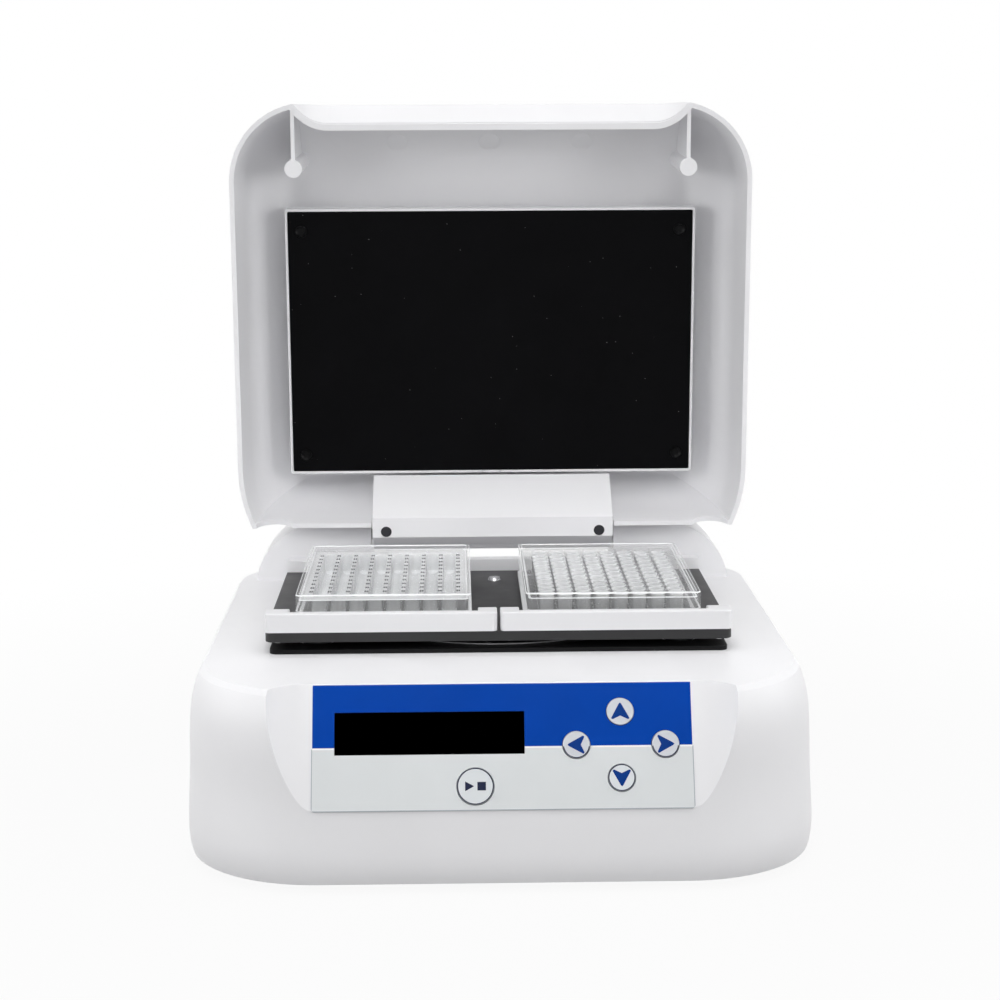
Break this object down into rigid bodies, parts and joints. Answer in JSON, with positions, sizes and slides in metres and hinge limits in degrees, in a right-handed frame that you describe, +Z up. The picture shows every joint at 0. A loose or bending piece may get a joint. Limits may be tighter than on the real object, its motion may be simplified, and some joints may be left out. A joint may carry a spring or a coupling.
{
  "type": "microplate incubator",
  "caption": "Heated bench shaker for microplates: white housing with sloping control panel, orbiting tray with front clamps, and a domed lid with a heated plate.",
  "frame": {"origin": "on the bench, under the middle of the housing's footprint", "axes": "+X to the right as seen from the control panel, +Y to the rear, +Z up"},
  "size_m": [0.2942, 0.3051, 0.3497],
  "materials": {
    "housing_white": "fine satin",
    "pan_grey": "powder coat",
    "rubber_black": "matte",
    "overlay_blue": "printed film, blue over light grey",
    "lens_black": "gloss",
    "key_light": "printed film",
    "plastic_black": "matte",
    "board_green": "solder mask",
    "heater_black": "black anodised, satin",
    "tray_grey": "dark anodised, satin",
    "aluminium": "machined",
    "steel": "bright",
    "motor_silver": "satin",
    "belt_rubber": "matte",
    "bronze": "sintered",
    "foam_white": "closed foam",
    "screw_black": "black oxide",
    "clear_plastic": "clear polystyrene"
  },
  "bodies": {
    "housing": {"base_cover": "housing_white", "base_pan": "pan_grey", "rubber_feet": "rubber_black", "pan_screws": "steel", "panel_overlay": "overlay_blue", "display_window": "lens_black", "display_module": "plastic_black", "key_board": "board_green", "mains_inlet": "plastic_black", "switch_frame": "plastic_black", "heater_plate": "heater_black", "drive_cover_disc": "heater_black", "drive_housing": "aluminium", "main_bearings": "steel", "motor_body": "motor_silver", "motor_bracket": "steel", "drive_belt": "belt_rubber", "idler_bearings": "bronze", "main_board": "board_green", "power_supply": "board_green", "hinge_brackets": "steel", "hinge_pins": "steel"},
    "lid": {"lid_shell": "housing_white", "lid_plate_frame": "housing_white", "lid_insulation": "foam_white", "lid_heater_plate": "heater_black", "lid_plate_screws": "screw_black", "hinge_block": "housing_white", "hinge_block_plugs": "plastic_black"},
    "drive_crank": {"eccentric_shaft": "steel", "driven_pulley": "aluminium", "counterweight": "steel"},
    "motor_rotor": {"motor_shaft": "steel", "motor_pulley": "aluminium"},
    "tray": {"shaker_tray": "tray_grey", "rear_rail": "housing_white", "tray_screw": "steel", "tray_bearings": "steel"},
    "clamp_bar_left": {"clamp_left": "housing_white", "clamp_screws_left": "steel"},
    "clamp_bar_right": {"clamp_right": "housing_white", "clamp_screws_right": "steel"},
    "plate_left": {"microplate_left": "clear_plastic"},
    "plate_right": {"microplate_right": "clear_plastic"},
    "plate_cap_left": {"microplate_lid_left": "clear_plastic"},
    "plate_cap_right": {"microplate_lid_right": "clear_plastic"},
    "switch_rocker": {"power_rocker": "plastic_black"},
    "idler_1": {"idler_crank_1": "steel"},
    "idler_2": {"idler_crank_2": "steel"},
    "idler_3": {"idler_crank_3": "steel"},
    "idler_4": {"idler_crank_4": "steel"},
    "key_up_cap": {"key_up": "key_light"},
    "key_down_cap": {"key_down": "key_light"},
    "key_left_cap": {"key_left": "key_light"},
    "key_right_cap": {"key_right": "key_light"},
    "key_start_cap": {"key_start": "key_light"}
  },
  "joints": [
    {"name": "lid_hinge", "type": "hinge", "parent": "housing", "child": "lid", "pos_m": [0, 0.1163, 0.1131], "axis": [-1, 0, 0], "range_deg": [-86.5, 0]},
    {"name": "drive_spin", "type": "hinge", "parent": "housing", "child": "drive_crank", "pos_m": [0, 0.0115, 0.04], "axis": [0, 0, 1], "continuous": true},
    {"name": "motor_spin", "type": "hinge", "parent": "housing", "child": "motor_rotor", "pos_m": [-0.075, 0.0115, 0.04], "axis": [0, 0, 1], "continuous": true},
    {"name": "tray_orbit", "type": "hinge", "parent": "drive_crank", "child": "tray", "pos_m": [0, 0.01, 0.0913], "axis": [0, 0, 1], "continuous": true},
    {"name": "idler_spin_1", "type": "hinge", "parent": "housing", "child": "idler_1", "pos_m": [-0.088, -0.0445, 0.08], "axis": [0, 0, 1], "continuous": true},
    {"name": "idler_spin_2", "type": "hinge", "parent": "housing", "child": "idler_2", "pos_m": [-0.088, 0.0675, 0.08], "axis": [0, 0, 1], "continuous": true},
    {"name": "idler_spin_3", "type": "hinge", "parent": "housing", "child": "idler_3", "pos_m": [0.088, -0.0445, 0.08], "axis": [0, 0, 1], "continuous": true},
    {"name": "idler_spin_4", "type": "hinge", "parent": "housing", "child": "idler_4", "pos_m": [0.088, 0.0675, 0.08], "axis": [0, 0, 1], "continuous": true},
    {"name": "clamp_slide_left", "type": "slide", "parent": "tray", "child": "clamp_bar_left", "axis": [0, -1, 0], "range_m": [0, 0.005], "stiffness_N_per_m": 400, "springref_m": -0.004},
    {"name": "plate_lift_left", "type": "slide", "parent": "tray", "child": "plate_left", "axis": [0, 0, 1], "range_m": [0, 0.06]},
    {"name": "plate_cap_lift_left", "type": "slide", "parent": "plate_left", "child": "plate_cap_left", "axis": [0, 0, 1], "range_m": [0, 0.03]},
    {"name": "clamp_slide_right", "type": "slide", "parent": "tray", "child": "clamp_bar_right", "axis": [0, -1, 0], "range_m": [0, 0.005], "stiffness_N_per_m": 400, "springref_m": -0.004},
    {"name": "plate_lift_right", "type": "slide", "parent": "tray", "child": "plate_right", "axis": [0, 0, 1], "range_m": [0, 0.06]},
    {"name": "plate_cap_lift_right", "type": "slide", "parent": "plate_right", "child": "plate_cap_right", "axis": [0, 0, 1], "range_m": [0, 0.03]},
    {"name": "key_up_press", "type": "slide", "parent": "housing", "child": "key_up_cap", "axis": [0, 0.9063, -0.4226], "range_m": [0, 0.0004], "stiffness_N_per_m": 1500, "springref_m": -0.0006},
    {"name": "key_down_press", "type": "slide", "parent": "housing", "child": "key_down_cap", "axis": [0, 0.9063, -0.4226], "range_m": [0, 0.0004], "stiffness_N_per_m": 1500, "springref_m": -0.0006},
    {"name": "key_left_press", "type": "slide", "parent": "housing", "child": "key_left_cap", "axis": [0, 0.9063, -0.4226], "range_m": [0, 0.0004], "stiffness_N_per_m": 1500, "springref_m": -0.0006},
    {"name": "key_right_press", "type": "slide", "parent": "housing", "child": "key_right_cap", "axis": [0, 0.9063, -0.4226], "range_m": [0, 0.0004], "stiffness_N_per_m": 1500, "springref_m": -0.0006},
    {"name": "key_start_press", "type": "slide", "parent": "housing", "child": "key_start_cap", "axis": [0, 0.9063, -0.4226], "range_m": [0, 0.0004], "stiffness_N_per_m": 1500, "springref_m": -0.0006},
    {"name": "rocker_tip", "type": "hinge", "parent": "housing", "child": "switch_rocker", "pos_m": [0.06, 0.147, 0.04], "axis": [1, 0, 0], "range_deg": [0, 16]}
  ],
  "couplings": [
    {"joint": "motor_spin", "follows": "drive_spin", "ratio": 3},
    {"joint": "tray_orbit", "follows": "drive_spin", "ratio": -1},
    {"joint": "idler_spin_1", "follows": "drive_spin", "ratio": 1},
    {"joint": "idler_spin_2", "follows": "drive_spin", "ratio": 1},
    {"joint": "idler_spin_3", "follows": "drive_spin", "ratio": 1},
    {"joint": "idler_spin_4", "follows": "drive_spin", "ratio": 1}
  ]
}
